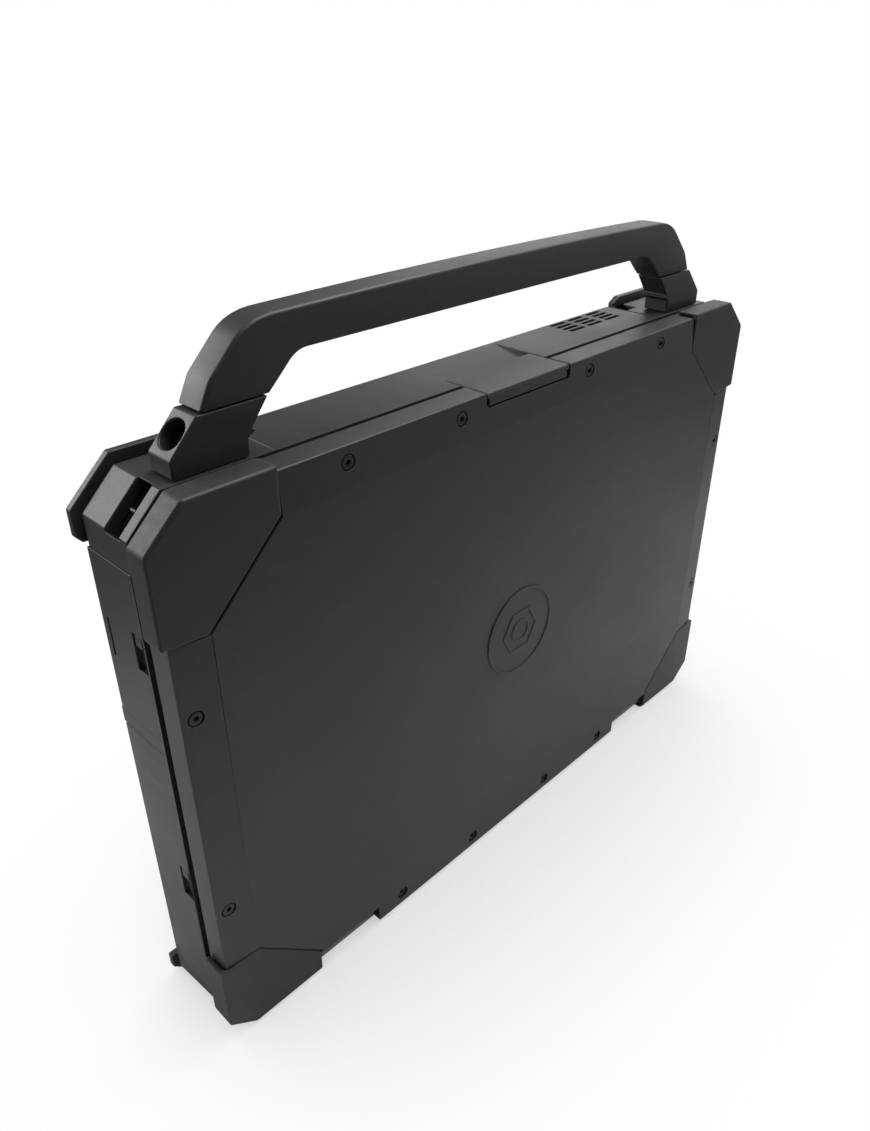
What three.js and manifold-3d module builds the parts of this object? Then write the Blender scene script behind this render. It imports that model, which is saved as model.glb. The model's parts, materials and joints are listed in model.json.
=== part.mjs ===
// A rugged laptop computer, standing closed on its hinge edge.
// Millimetres. X runs across, Y from the lid's face to the feet, Z from the hinge edge to the handle.
import * as THREE from 'three';
import { mergeVertices } from 'three/addons/utils/BufferGeometryUtils.js';
import Module from 'manifold-3d';

const wasm = await Module();
wasm.setup();

// ---- Driving dimensions ----

const THICKNESS = 50;          // lid face to the bottom of the corner feet
const SHELL_HALF = 175.2;      // side faces of the lid and the base
const BUMPER_HALF = 178;       // side faces of the lid's corner bumpers
const SHELL_TOP = 246;         // front edge of the lid and the base
const BUMPER_TOP = 248;        // front edge of the corner bumpers
const GAP = 0.3;               // between neighbouring pieces

const COVER_LOW = 3;           // hinge edge of the lid cover
const COVER_WALL_END = 12.7;   // depth of the lid cover's walls
const COVER_SKIN = 3.2;        // depth of the lid cover's cavity floor
const LID_DEPTH = 16.5;        // inner face of the lid
const HIP_DROP = 1.2;          // fall of the lid's border band towards its edges
const BAND_SIDE = 159.85;      // fold line of the border band, either side
const BAND_TOP = 230;          // fold line of the border band along the front edge
const COVER_BEAM_TOP = 14.8;   // upper side of the lid cover's hinge beam
const BUMPER_END = { front: 11, rear: 12.5 }; // depth of the bumper walls
const BUMPER_SKIN = 2;         // thickness of the bumpers' faces
const EDGE_BREAK = 2.5;        // chamfer on the hinge edge of the rear bumpers

const HINGE = [8.25, 6.5];     // Y and Z of the lid's axis
const KNUCKLE_R = 5.2;
const HINGE_PIN_R = 2.3;
const NOTCH = { inner: 95, outer: 129.8, top: 12.2 };

const LATCH_HALF = 26.2;
const LATCH_AXIS = [6.5, 241.8]; // Y and Z of the latch's pin
const LATCH_PIN_R = 1.1;
const LATCH_ROOM = 26.8;       // half width of the latch's pocket
const APRON = { inner: 4.4, outer: 5.5, half: 25 }; // the latch's curved front, about its pin

const BASE_FRONT = 17.2;       // inner (keyboard) face of the base
const BASE_BACK = 46;          // bottom face of the base
const BASE_REAR = [10.2, 5.5]; // Z of the base's hinge edge at its inner and bottom faces
const BASE_FLOOR = 43;         // inside of the bottom wall
const DECK_BACK = 20;          // underside of the palm rest
const CAP_THICK = 5;           // thickness of the front corner caps
const CAP_SIDE_END = 220.8;    // where a front corner cap ends on the side face
const CAP_TOP_END = 118;       // where a front corner cap ends on the front edge
const RIM_FRONT = 15;          // front of the caps' rims
const FLANGE_FRONT = 46.8;     // front of the flanges round the bottom corners
const FLANGE_GROOVE = { front: 43.4, depth: 2.4 }; // groove between a cap and its flange
const FLANGE_TOP = 249;
const FLANGE_HALF = 177.5;
const SLOT_Y = [19.8, 28.6];   // strap slot
const SLOT_DEPTH = 7;
const STRAP_RIB = { run: [8.8, 10], end: 23.6, drop: 0.5 }; // small rib in the strap slot

const DOOR_THICK = 3;
const DRIVE_NOTCH_Z = 180.6;   // finger notches in the side doors
const BATTERY_NOTCH_Z = 70.6;
const NOTCH_LENGTH = 15.5;
const DOOR_Y = [17.6, 45.2];
const DRIVE_DOOR_Z = [153.6, 220.3];
const BATTERY_DOOR_Z = [14.2, 145.8];
const DRIVE_SLIT = { y: [40.6, 41.6], z: [178, 194], depth: 1.2 };
const DOOR_AXIS = [172.5, 44.2]; // distance from the middle, and Y, of the side doors' pivots
const DOOR_PIVOT_ROOM = 1.5;   // radius of the holes for the side doors' pivots
const PORT_DOOR_Z = [96, 186];
const PORT_DOOR_Y = [22, 41.5];
const PORT_DOOR_AXIS = [173.9, 40.2];

const KEY_FIELD = { half: 146, low: 46, high: 149.5 };
const KEY_TOP = 17.9;          // pressed face of the key caps
const KEY_BOTTOM = 19.8;       // underside of a cap that travels
const KEY_WIDTH = 17.5;
const ENTER_WIDTH = 46.5;
const KEY_GAP = 1.5;
const PAD = { half: 48, low: 164, high: 212 };
const PAD_BUTTON_Z = [215, 229];
const POWER_SITE = [-141, 30];
const POWER_R = 5;

const HANDLE_FRONT = 16.5;
const HANDLE_BACK = 30.2;
const BRACKET_BACK = 29.7;
const BRACKET_TOP = 264.7;
const BRACKET_SHOULDER = [156, 252.9]; // X and Z, lower end of a bracket's sloped face
const BRACKET_CREST_X = 144.8;
const WELL = [150.4, 23.2, 258.8];     // middle of a handle screw's well, on the sloped face
const WELL_R = 5.5;
const GRIP_TOP = 292.1;

// Corner cuts, as distances from the corner along X and Z
const COVER_LOW_CUT = [12.5, 10.1];
const COVER_TOP_CUT = [13.9, 13];
const BASE_TOP_CUT = [13.6, 13];

// ---- Solids ----

function toSolid(geometry) {
  const bare = geometry.clone();
  bare.deleteAttribute('normal');
  bare.deleteAttribute('uv');
  const merged = mergeVertices(bare);
  return new wasm.Manifold(new wasm.Mesh({
    numProp: 3,
    vertProperties: new Float32Array(merged.attributes.position.array),
    triVerts: new Uint32Array(merged.index.array),
  }));
}

function toGeometry(solid) {
  const mesh = solid.getMesh();
  const geometry = new THREE.BufferGeometry();
  geometry.setAttribute('position', new THREE.BufferAttribute(mesh.vertProperties, 3));
  geometry.setIndex(new THREE.BufferAttribute(mesh.triVerts, 1));
  geometry.computeVertexNormals();
  return geometry;
}

function extrude(outline, length, across, up, along, start) {
  const shape = new THREE.Shape(outline.map(([a, b]) => new THREE.Vector2(a, b)));
  const geometry = new THREE.ExtrudeGeometry(shape, { depth: length, bevelEnabled: false });
  const basis = new THREE.Matrix4().makeBasis(across, up, along);
  geometry.applyMatrix4(basis.setPosition(start));
  return toSolid(geometry);
}

const X = new THREE.Vector3(1, 0, 0);
const Y = new THREE.Vector3(0, 1, 0);
const Z = new THREE.Vector3(0, 0, 1);

// An outline in X and Z, thickened along Y.
const slab = (outline, y0, y1) =>
  extrude(outline, y1 - y0, X, Z, Y.clone().negate(), new THREE.Vector3(0, y1, 0));

// An outline in Y and Z, run along X.
const bar = (outline, x0, x1) => extrude(outline, x1 - x0, Y, Z, X, new THREE.Vector3(x0, 0, 0));

// An outline in X and Y, run along Z.
const post = (outline, z0, z1) => extrude(outline, z1 - z0, X, Y, Z, new THREE.Vector3(0, 0, z0));

function box([x0, x1], [y0, y1], [z0, z1]) {
  const geometry = new THREE.BoxGeometry(x1 - x0, y1 - y0, z1 - z0);
  geometry.translate((x0 + x1) / 2, (y0 + y1) / 2, (z0 + z1) / 2);
  return toSolid(geometry);
}

function rod(radius, [x0, x1], [y, z], sides = 20) {
  const geometry = new THREE.CylinderGeometry(radius, radius, x1 - x0, sides);
  geometry.rotateZ(Math.PI / 2);
  geometry.translate((x0 + x1) / 2, y, z);
  return toSolid(geometry);
}

function disc(radius, [y0, y1], [x, z], sides = 20) {
  const geometry = new THREE.CylinderGeometry(radius, radius, y1 - y0, sides);
  geometry.translate(x, (y0 + y1) / 2, z);
  return toSolid(geometry);
}

function trunnion(radius, [x, y], [z0, z1], sides = 12) {
  const geometry = new THREE.CylinderGeometry(radius, radius, z1 - z0, sides);
  geometry.rotateX(Math.PI / 2);
  geometry.translate(x, y, (z0 + z1) / 2);
  return toSolid(geometry);
}

const joined = (solids) => solids.reduce((all, solid) => all.add(solid));
const cutBy = (solid, cutters) => cutters.reduce((rest, cutter) => rest.subtract(cutter), solid);
const flip = (outline, side) => outline.map(([x, z]) => [side * x, z]);

// A rectangle about the middle with its four corners cut.
function cornered(half, low, high, [lowX, lowZ], [highX, highZ]) {
  const right = [
    [half - lowX, low],
    [half, low + lowZ],
    [half, high - highZ],
    [half - highX, high],
  ];
  return [...right, ...flip(right, -1).reverse()];
}

// A span from one distance to another on either side, in rising order.
const spanOn = (side, near, far) => (side > 0 ? [near, far] : [-far, -near]);
const grown = ([low, high], by) => [low - by, high + by];

const rect = (half, low, high) => [[-half, low], [half, low], [half, high], [-half, high]];

// A convex outline moved outwards by a distance (inwards when negative).
function grow(outline, distance) {
  const area = outline.reduce((sum, [x, z], i) => {
    const [nx, nz] = outline[(i + 1) % outline.length];
    return sum + x * nz - nx * z;
  }, 0);
  const turn = Math.sign(area);
  const edges = outline.map(([x, z], i) => {
    const [nx, nz] = outline[(i + 1) % outline.length];
    const length = Math.hypot(nx - x, nz - z);
    const normal = [turn * (nz - z) / length, -turn * (nx - x) / length];
    return { normal, reach: normal[0] * x + normal[1] * z + distance };
  });
  return edges.map((edge, i) => {
    const last = edges[(i + edges.length - 1) % edges.length];
    const det = last.normal[0] * edge.normal[1] - last.normal[1] * edge.normal[0];
    return [
      (last.reach * edge.normal[1] - edge.reach * last.normal[1]) / det,
      (last.normal[0] * edge.reach - edge.normal[0] * last.reach) / det,
    ];
  });
}

// ---- Materials ----

const finish = (color, roughness, metalness) =>
  new THREE.MeshStandardMaterial({ color, roughness, metalness });
const BLACK_SHELL = [0x2e2e31, 0.55, 0.1];
const BLACK_RUBBER = [0x242427, 0.8, 0];
const DARK_METAL = [0x3a3a3e, 0.4, 0.8];
const STEEL = [0x8d9094, 0.35, 0.9];
const GLASS = [0x0b0c10, 0.1, 0.1];
const CIRCUIT = [0x1f4a34, 0.6, 0.1];
const KEY_BLACK = [0x1b1b1d, 0.7, 0];

// ---- Outlines shared by neighbouring pieces ----

const COVER_OUTLINE = cornered(SHELL_HALF, COVER_LOW, SHELL_TOP, COVER_LOW_CUT, COVER_TOP_CUT);
const FRONT_BUMPER = [
  [128.3, BUMPER_TOP],
  [163, BUMPER_TOP],
  [BUMPER_HALF, 234],
  [BUMPER_HALF, 200.6],
  [160, 199.1],
  [128.3, 230],
];
const REAR_BUMPER = [
  [129.8, 0],
  [163.3, 0],
  [BUMPER_HALF, 11.9],
  [BUMPER_HALF, 44.3],
  [159.8, 44.3],
  [129.8, 14.2],
];
const BASE_OUTLINE = cornered(SHELL_HALF, 0, SHELL_TOP, [0.5, 0.5], BASE_TOP_CUT);
const BASE_CAVITY = [
  [171.9, 13.5],
  [171.9, 214],
  [163, 226],
  [152, 237],
];
const BASE_CAVITY_OUTLINE = [...BASE_CAVITY, ...flip(BASE_CAVITY, -1).reverse()];

// ---- Lid ----

const SCREW_SITES = [
  ...[41.1, 98.4].map((x) => [x, 239.7]),
  ...[169.55, 75.6].map((z) => [169.7, z]),
  ...[29.4, 79.6].map((x) => [x, 9.1]),
].flatMap(([x, z]) => [[x, z], [-x, z]]);
const SCREW_HEAD_R = 2.7;
const SCREW_SEAT_Y = 2.5;

function hippedPlate() {
  const side = [
    [BAND_SIDE, 0],
    [SHELL_HALF, HIP_DROP],
    [SHELL_HALF, COVER_WALL_END],
  ];
  const across = [...side, ...flip(side, -1).reverse()];
  const upright = [
    [0, COVER_LOW],
    [0, BAND_TOP],
    [HIP_DROP, SHELL_TOP],
    [COVER_WALL_END, SHELL_TOP],
    [COVER_WALL_END, COVER_LOW],
  ];
  return slab(COVER_OUTLINE, 0, COVER_WALL_END)
    .intersect(post(across, -1, BUMPER_TOP + 1))
    .intersect(bar(upright, -BUMPER_HALF, BUMPER_HALF));
}

function hingeBeam() {
  const section = [
    [1.5, COVER_LOW],
    [0, COVER_LOW + 1.5],
    [0, COVER_BEAM_TOP],
    [LID_DEPTH - GAP, COVER_BEAM_TOP],
    [LID_DEPTH - GAP, COVER_LOW + 1.5],
    [LID_DEPTH - GAP - 1.5, COVER_LOW],
  ];
  return bar(section, -BUMPER_HALF, BUMPER_HALF).intersect(slab(COVER_OUTLINE, -1, 20));
}

function latchPocket() {
  const groove = [
    [LATCH_ROOM, BUMPER_TOP + 1],
    [LATCH_ROOM, 241.6],
    [APRON.half + 0.4, 240.1],
  ];
  const scoop = [...groove, ...flip(groove, -1).reverse()];
  const room = box([-LATCH_ROOM, LATCH_ROOM], [1, 14], [237.9, 250]);
  return slab(scoop, -1, COVER_SKIN + 0.5).add(room);
}

function lidCover() {
  const cavity = slab(grow(COVER_OUTLINE, -3), COVER_SKIN, 20);
  const shell = hippedPlate().subtract(cavity);
  const latchBlock = box([-31, 31], [1.5, COVER_WALL_END], [236.5, SHELL_TOP - 0.5]);
  const outerRecess = [FRONT_BUMPER, REAR_BUMPER].flatMap((outline) =>
    [1, -1].map((side) => slab(grow(flip(outline, side), 0.4), -1, BUMPER_SKIN + GAP)));
  const notches = [1, -1].map((side) =>
    box(spanOn(side, NOTCH.inner, NOTCH.outer), [-1, 18], [0, NOTCH.top]));
  const pinBores = [1, -1].map((side) => rod(HINGE_PIN_R + GAP, spanOn(side, 85, 140), HINGE));
  const screwSeats = SCREW_SITES.map((site) => disc(SCREW_HEAD_R + 0.5, [-1, SCREW_SEAT_Y], site, 12));
  const lowerPlate = cutBy(shell.add(latchBlock).add(hingeBeam()), outerRecess);
  return cutBy(lowerPlate, [
    ...notches,
    ...pinBores,
    ...screwSeats,
    latchPocket(),
    rod(LATCH_PIN_R + GAP, [-29.5, 29.5], LATCH_AXIS, 12),
  ]);
}

function lidBumper(outline, side, end) {
  const shell = slab(flip(outline, side), 0, end);
  const room = slab(grow(COVER_OUTLINE, GAP), BUMPER_SKIN, LID_DEPTH + 1);
  return shell.subtract(room);
}

// A rear bumper's hinge edge is chamfered so that it clears the desk as the lid turns.
function rearBumper(side) {
  const end = BUMPER_END.rear;
  const section = [
    [EDGE_BREAK, 0],
    [0, EDGE_BREAK],
    [0, 60],
    [end, 60],
    [end, EDGE_BREAK],
    [end - EDGE_BREAK, 0],
  ];
  return lidBumper(REAR_BUMPER, side, end).intersect(bar(section, -BUMPER_HALF - 1, BUMPER_HALF + 1));
}

function lidScrew([x, z]) {
  const head = disc(SCREW_HEAD_R, [0.9, SCREW_SEAT_Y - 0.15], [x, z], 12);
  return head.subtract(disc(1.3, [0, 1.9], [x, z], 6));
}

const PANEL = { half: 160, low: 28, high: 219 };
const WINDOW = { half: 155, low: 38.5, high: 212.5 };
const FRAME_CUT = [10, 10];

function lidChassis() {
  const plate = slab(cornered(168, 17.6, 234, FRAME_CUT, [14, 14]), 3.5, 6.5);
  return plate.subtract(slab(rect(140, 50, 205), 3, 7));
}

function displayBezel() {
  const plate = slab(cornered(169.6, 17.8, 236.1, FRAME_CUT, [15, 15]), 6.8, LID_DEPTH);
  return cutBy(plate, [
    slab(rect(WINDOW.half, WINDOW.low, WINDOW.high), 6, 18),
    slab(rect(PANEL.half + 3.3, PANEL.low - 4.3, PANEL.high + 12.6), 6, 13.1),
    disc(2.7, [12, 18], [0, 225.5], 12),
    box([-12, 12], [15.2, 18], [221.5, 229.5]),
  ]);
}

function lidGasket() {
  const outer = cornered(172, 15.2, 240, FRAME_CUT, [15, 15]);
  return slab(outer, 13, 16.9).subtract(slab(grow(outer, -1.9), 12, 18));
}

function cameraModule() {
  const board = box([-14, 14], [8.5, 12.8], [221, 230]);
  return board.add(disc(2.2, [12.5, 14.9], [0, 225.5], 12));
}

// The curved front that closes the latch's pocket while the latch turns.
function latchApron() {
  const arc = (radius, degrees) => degrees.map((degree) => {
    const angle = THREE.MathUtils.degToRad(degree);
    return [LATCH_AXIS[0] + radius * Math.cos(angle), LATCH_AXIS[1] + radius * Math.sin(angle)];
  });
  const span = [145, 157.5, 170, 182.5, 195];
  const section = [...arc(APRON.outer, span), ...arc(APRON.inner, [...span].reverse())];
  return bar(section, -APRON.half, APRON.half);
}

function lidLatch() {
  const lever = [
    [1.2, 243.9],
    [1.2, 245.3],
    [1.9, SHELL_TOP],
    [23.4, SHELL_TOP],
    [24.2, 245.2],
    [24.2, 243.2],
    [5, 243.2],
  ];
  const plate = bar(lever, -LATCH_HALF, LATCH_HALF);
  const barrel = rod(2.4, [-LATCH_HALF, LATCH_HALF], LATCH_AXIS, 16);
  const hook = box([-10, 10], [18.5, 20.5], [238.6, 243.6]);
  const pinBore = rod(LATCH_PIN_R + GAP, [-30, 30], LATCH_AXIS, 12);
  return joined([plate, barrel, hook, latchApron()]).subtract(pinBore);
}

// ---- Hinges ----

function hingeBracket(side) {
  const span = spanOn(side, NOTCH.inner + 0.6, NOTCH.outer - 0.6);
  const barrel = rod(KNUCKLE_R, span, HINGE, 24);
  const arm = box(span, [HINGE[0], 22.8], [7.6, 11.4]);
  const foot = box(span, [20.4, 22.8], [7.6, 27]);
  return joined([barrel, arm, foot]).subtract(rod(HINGE_PIN_R + GAP, spanOn(side, 80, 145), HINGE));
}

// ---- Base ----

function strapSlot(side) {
  const start = [SHELL_HALF - BASE_TOP_CUT[0], SHELL_TOP];
  const end = [SHELL_HALF, SHELL_TOP - BASE_TOP_CUT[1]];
  const length = Math.hypot(end[0] - start[0], end[1] - start[1]);
  const inward = [(end[1] - start[1]) / length, -(end[0] - start[0]) / length];
  const along = [(end[0] - start[0]) / length, (end[1] - start[1]) / length];
  const at = (reach, run) => [
    start[0] + inward[0] * reach + along[0] * run,
    start[1] + inward[1] * reach + along[1] * run,
  ];
  const trench = (low, high, from, to) => [at(low, from), at(low, to), at(high, to), at(high, from)];
  const { run, end: ribEnd, drop } = STRAP_RIB;
  const slot = slab(flip(trench(-3, SLOT_DEPTH, -0.4, length + 0.8), side), ...SLOT_Y);
  const rib = slab(flip(trench(drop, SLOT_DEPTH + 1, ...run), side), SLOT_Y[0] - 1, ribEnd);
  return slot.subtract(rib);
}

// The corner of the band's inner side: two points, on the side face and on the front edge.
const capCorner = (thick) => [
  [SHELL_HALF - thick, SHELL_TOP - BASE_TOP_CUT[1] - 0.4 * thick],
  [SHELL_HALF - BASE_TOP_CUT[0] - 0.4 * thick, SHELL_TOP - thick],
];

function capBand(thick) {
  const outer = [
    [CAP_TOP_END, SHELL_TOP],
    [SHELL_HALF - BASE_TOP_CUT[0], SHELL_TOP],
    [SHELL_HALF, SHELL_TOP - BASE_TOP_CUT[1]],
    [SHELL_HALF, CAP_SIDE_END],
  ];
  const inner = [
    [SHELL_HALF - thick, CAP_SIDE_END],
    ...capCorner(thick),
    [CAP_TOP_END, SHELL_TOP - thick],
  ];
  return [...outer, ...inner];
}

// The cap's band with its gap, run out past the shell's faces so that it cuts them cleanly.
function capRoom(thick) {
  return [
    [CAP_TOP_END - GAP, SHELL_TOP + 5],
    [SHELL_HALF + 5, SHELL_TOP + 5],
    [SHELL_HALF + 5, CAP_SIDE_END - GAP],
    [SHELL_HALF - thick, CAP_SIDE_END - GAP],
    ...capCorner(thick),
    [CAP_TOP_END - GAP, SHELL_TOP - thick],
  ];
}

const CAP_INSIDE = [
  [100, 180],
  [SHELL_HALF - CAP_THICK, 180],
  ...capCorner(CAP_THICK),
  [100, SHELL_TOP - CAP_THICK],
];

const FRONT_FLANGE = [
  [124.5, 238],
  [124.5, SHELL_TOP + 0.3],
  [129.3, FLANGE_TOP],
  [160.8, FLANGE_TOP],
  [FLANGE_HALF, 233.4],
  [FLANGE_HALF, CAP_SIDE_END + 2.8],
  [FLANGE_HALF - 2.2, CAP_SIDE_END + 0.2],
  [166, CAP_SIDE_END + 0.2],
  [166, 227],
  [154, 238],
];
const REAR_FLANGE = [
  [132, 0],
  [172.5, 0],
  [FLANGE_HALF, 5],
  [FLANGE_HALF, 12],
  [166, 12],
  [162, 8.5],
  [132, 8.5],
];

function frontCap(side) {
  const band = slab(flip(capBand(CAP_THICK), side), BASE_FRONT, BASE_BACK);
  const rim = slab(flip(capBand(2.2), side), RIM_FRONT, BASE_FRONT + 0.5);
  const housingRoom = slab(flip(CAP_INSIDE, side), BASE_FRONT, BASE_BACK + GAP);
  const flange = slab(flip(FRONT_FLANGE, side), BASE_BACK - 1, THICKNESS).subtract(housingRoom);
  const groove = slab(flip(capRoom(FLANGE_GROOVE.depth), side), FLANGE_GROOVE.front, FLANGE_FRONT);
  const well = box(spanOn(side, 118.5, 127.5), [34.5, 43], [243, 250]);
  const pivotHole = trunnion(DOOR_PIVOT_ROOM, [-DOOR_AXIS[0], DOOR_AXIS[1]], grown(DRIVE_DOOR_Z, 2));
  return cutBy(joined([band, rim, flange]), [groove, strapSlot(side), well, pivotHole]);
}

const rearFoot = (side) => slab(flip(REAR_FLANGE, side), BASE_BACK + GAP, THICKNESS);

function speakerSlots() {
  const cuts = [];
  for (const x of [73, 87.2, 101.8]) {
    for (const y of [31.9, 35.8, 39.7, 43.6]) {
      cuts.push(box([x - 5.5, x + 5.5], [y - 1, y + 1], [242, 250]));
    }
  }
  return cuts;
}

function exhaustSlots() {
  const cuts = [];
  for (let i = 0; i < 8; i += 1) {
    cuts.push(box([170, 180], [27, 41], [42 + i * 6, 45 + i * 6]));
  }
  return cuts;
}

const FLOOR_OPENING = { x: [-50, 160], z: [30, 205] };

function doorBay(span) {
  return [
    box([-180, -171], [DOOR_Y[0] - GAP, 50], grown(span, GAP)),
    trunnion(DOOR_PIVOT_ROOM, [-DOOR_AXIS[0], DOOR_AXIS[1]], grown(span, 2)),
  ];
}

function portBay() {
  return [
    box([171, 180], [PORT_DOOR_Y[0] - GAP, PORT_DOOR_Y[1] + 1.3], grown(PORT_DOOR_Z, GAP)),
    trunnion(1.1, PORT_DOOR_AXIS, grown(PORT_DOOR_Z, 1.8)),
  ];
}

function baseHousing() {
  const profile = [
    [BASE_FRONT, BASE_REAR[0]],
    [BASE_BACK, BASE_REAR[1]],
    [BASE_BACK, SHELL_TOP],
    [BASE_FRONT, SHELL_TOP],
  ];
  const body = slab(BASE_OUTLINE, BASE_FRONT, BASE_BACK).intersect(bar(profile, -SHELL_HALF, SHELL_HALF));
  const lip = box([-126, 126], [RIM_FRONT, BASE_FRONT + 0.5], [243.2, SHELL_TOP]);
  const scoop = [
    [24.4, 250],
    [24.4, 243.9],
    [45.9, SHELL_TOP + 0.2],
    [45.9, 250],
  ];
  const capRooms = [1, -1].flatMap((side) => [
    slab(flip(capRoom(CAP_THICK + GAP), side), 10, 50),
    strapSlot(side),
    box(spanOn(side, 95.3, 129.5), [10, 23.1], [0, 13.6]),
  ]);
  return cutBy(body.subtract(slab(BASE_CAVITY_OUTLINE, 10, BASE_FLOOR)).add(lip), [
    ...capRooms,
    ...doorBay(DRIVE_DOOR_Z),
    ...doorBay(BATTERY_DOOR_Z),
    ...portBay(),
    ...speakerSlots(),
    ...exhaustSlots(),
    box([-LATCH_ROOM, LATCH_ROOM], [10, 24.6], [242.6, 250]),
    box([-11, 11], [17, 22], [235, 243]),
    bar(scoop, -LATCH_ROOM, LATCH_ROOM),
    box(FLOOR_OPENING.x, [BASE_FLOOR - 1, 50], FLOOR_OPENING.z),
    rod(5.2, [160, 180], [32, 24], 16),
  ]);
}

function baseDeck() {
  const plate = slab(grow(BASE_CAVITY_OUTLINE, -GAP), BASE_FRONT, DECK_BACK);
  return cutBy(plate, [
    slab(rect(KEY_FIELD.half, KEY_FIELD.low, KEY_FIELD.high), 15, 22),
    slab(rect(PAD.half, PAD.low, PAD.high), 15, 22),
    slab(rect(PAD.half, PAD_BUTTON_Z[0], PAD_BUTTON_Z[1]), 15, 22),
    disc(POWER_R + 0.6, [15, 22], POWER_SITE, 20),
  ]);
}

function sideDoor(span, notch) {
  const plate = box([-SHELL_HALF, -SHELL_HALF + DOOR_THICK], DOOR_Y, span);
  const pivots = trunnion(1, [-DOOR_AXIS[0], DOOR_AXIS[1]], grown(span, 1.6));
  const finger = box([-180, -173.4], [15, 24.4], [notch, notch + NOTCH_LENGTH]);
  return plate.add(pivots).subtract(finger);
}

function driveDoor() {
  const { y, z, depth } = DRIVE_SLIT;
  const slit = box([-SHELL_HALF - 1, -SHELL_HALF + depth], y, z);
  return sideDoor(DRIVE_DOOR_Z, DRIVE_NOTCH_Z).subtract(slit);
}

function doorLatch(notch) {
  return box([-174.9, -173.7], [19, 23.6], [notch + 10, notch + 14.8]);
}

function portDoor() {
  const plate = box([172.7, SHELL_HALF], PORT_DOOR_Y, PORT_DOOR_Z);
  return plate.add(trunnion(0.8, PORT_DOOR_AXIS, grown(PORT_DOOR_Z, 1.4)));
}

const PORTS = [
  { z: 108, w: 13.5, h: 6 },
  { z: 126, w: 13.5, h: 6 },
  { z: 146, w: 16, h: 12 },
  { z: 168, w: 15, h: 5.5 },
];

function portBlock() {
  const block = box([146, 170.7], [25.5, 38], grown(PORT_DOOR_Z, -5));
  return cutBy(block, PORTS.map(({ z, w, h }) =>
    box([156, 176], [31.5 - h / 2, 31.5 + h / 2], [z - w / 2, z + w / 2])));
}

function powerInlet() {
  const shell = rod(4.8, [162, 174.6], [32, 24], 16).subtract(rod(3, [165, 176], [32, 24], 12));
  return shell.add(rod(0.8, [163, 173], [32, 24], 8));
}

function bottomCover() {
  const [x0, x1] = FLOOR_OPENING.x;
  const [z0, z1] = FLOOR_OPENING.z;
  const plate = box([x0 + GAP, x1 - GAP], [BASE_FLOOR + GAP, BASE_BACK], [z0 + GAP, z1 - GAP]);
  return plate.subtract(box([12, 98], [40, 50], [100, 114]));
}

function dockConnector() {
  const block = box([12.4, 97.6], [37, 45], [100.4, 113.6]);
  return block.subtract(box([20, 90], [41, 50], [104, 110]));
}

// ---- Keyboard ----

const ROWS = 6;
const ROW_HEIGHT = (KEY_FIELD.high - KEY_FIELD.low - KEY_GAP) / ROWS;
const rowLow = (row) => KEY_FIELD.low + KEY_GAP + row * ROW_HEIGHT;
const SPACE_HALF = 55;
const ENTER = [-KEY_FIELD.half + KEY_GAP, -KEY_FIELD.half + KEY_GAP + ENTER_WIDTH];
const ESCAPE = [KEY_FIELD.half - KEY_GAP - KEY_WIDTH, KEY_FIELD.half - KEY_GAP];

const rowSpan = (row) => [rowLow(row), rowLow(row) + ROW_HEIGHT - KEY_GAP];
const cap = (span, row) => box(span, [KEY_TOP, KEY_BOTTOM], rowSpan(row));

function keyboardFrame() {
  const plate = box([-149, 149], [21.9, 22.9], [KEY_FIELD.low - 3, KEY_FIELD.high + 3]);
  const full = [-KEY_FIELD.half + KEY_GAP, KEY_FIELD.half - KEY_GAP];
  const spans = [
    [[full[0], ESCAPE[0] - KEY_GAP]],
    [full],
    [full],
    [[ENTER[1] + KEY_GAP, full[1]]],
    [full],
    [[full[0], -SPACE_HALF - KEY_GAP], [SPACE_HALF + KEY_GAP, full[1]]],
  ];
  const blocks = spans.flatMap((row, i) =>
    row.map((span) => box(span, [KEY_TOP, 22.4], rowSpan(i))));
  return joined([plate, ...blocks]);
}

// ---- Inside the base ----

function motherboard() {
  const board = box([-56, 166], [23.3, 24.9], [29, 212]);
  const chips = [
    box([20, 50], [24.5, 26.8], [150, 180]),
    box([-40, 30], [24.5, 29], [60, 64]),
    box([-40, 30], [24.5, 29], [70, 74]),
    box([60, 84], [24.5, 26.4], [120, 144]),
    box([-45, -15], [24.5, 26.2], [140, 190]),
  ];
  return joined([board, ...chips]);
}

const FAN = { x: 118, z: 66, radius: 25, y: [28, 42] };

function fanHousing() {
  const shell = box([FAN.x - 29, FAN.x + 29], FAN.y, [FAN.z - 29, FAN.z + 29]);
  return cutBy(shell, [
    disc(FAN.radius + 1, [29.5, 50], [FAN.x, FAN.z], 32),
    box([FAN.x, FAN.x + 40], [29.5, 40.5], [FAN.z - 22, FAN.z + 22]),
  ]);
}

function fanImpeller() {
  const blades = [];
  const count = 9;
  for (let i = 0; i < count; i += 1) {
    const blade = new THREE.BoxGeometry(FAN.radius - 6, 8.5, 1);
    blade.translate((FAN.radius + 4) / 2, 35, 0);
    blade.rotateY((i * 2 * Math.PI) / count);
    blade.translate(FAN.x, 0, FAN.z);
    blades.push(toSolid(blade));
  }
  return joined([disc(9, [30, 41], [FAN.x, FAN.z], 20), ...blades]);
}

function heatSink() {
  const plate = box([148.5, 169], [27.6, 29], [38, 92]);
  const fins = [];
  for (let i = 0; i < 12; i += 1) {
    fins.push(box([148.5, 169], [28.5, 41.5], [38.5 + i * 4.6, 39.5 + i * 4.6]));
  }
  return joined([plate, ...fins]);
}

// ---- Handle ----

const BRACKET_SLOPE = Math.atan2(BRACKET_TOP - BRACKET_SHOULDER[1], BRACKET_SHOULDER[0] - BRACKET_CREST_X);

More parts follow.
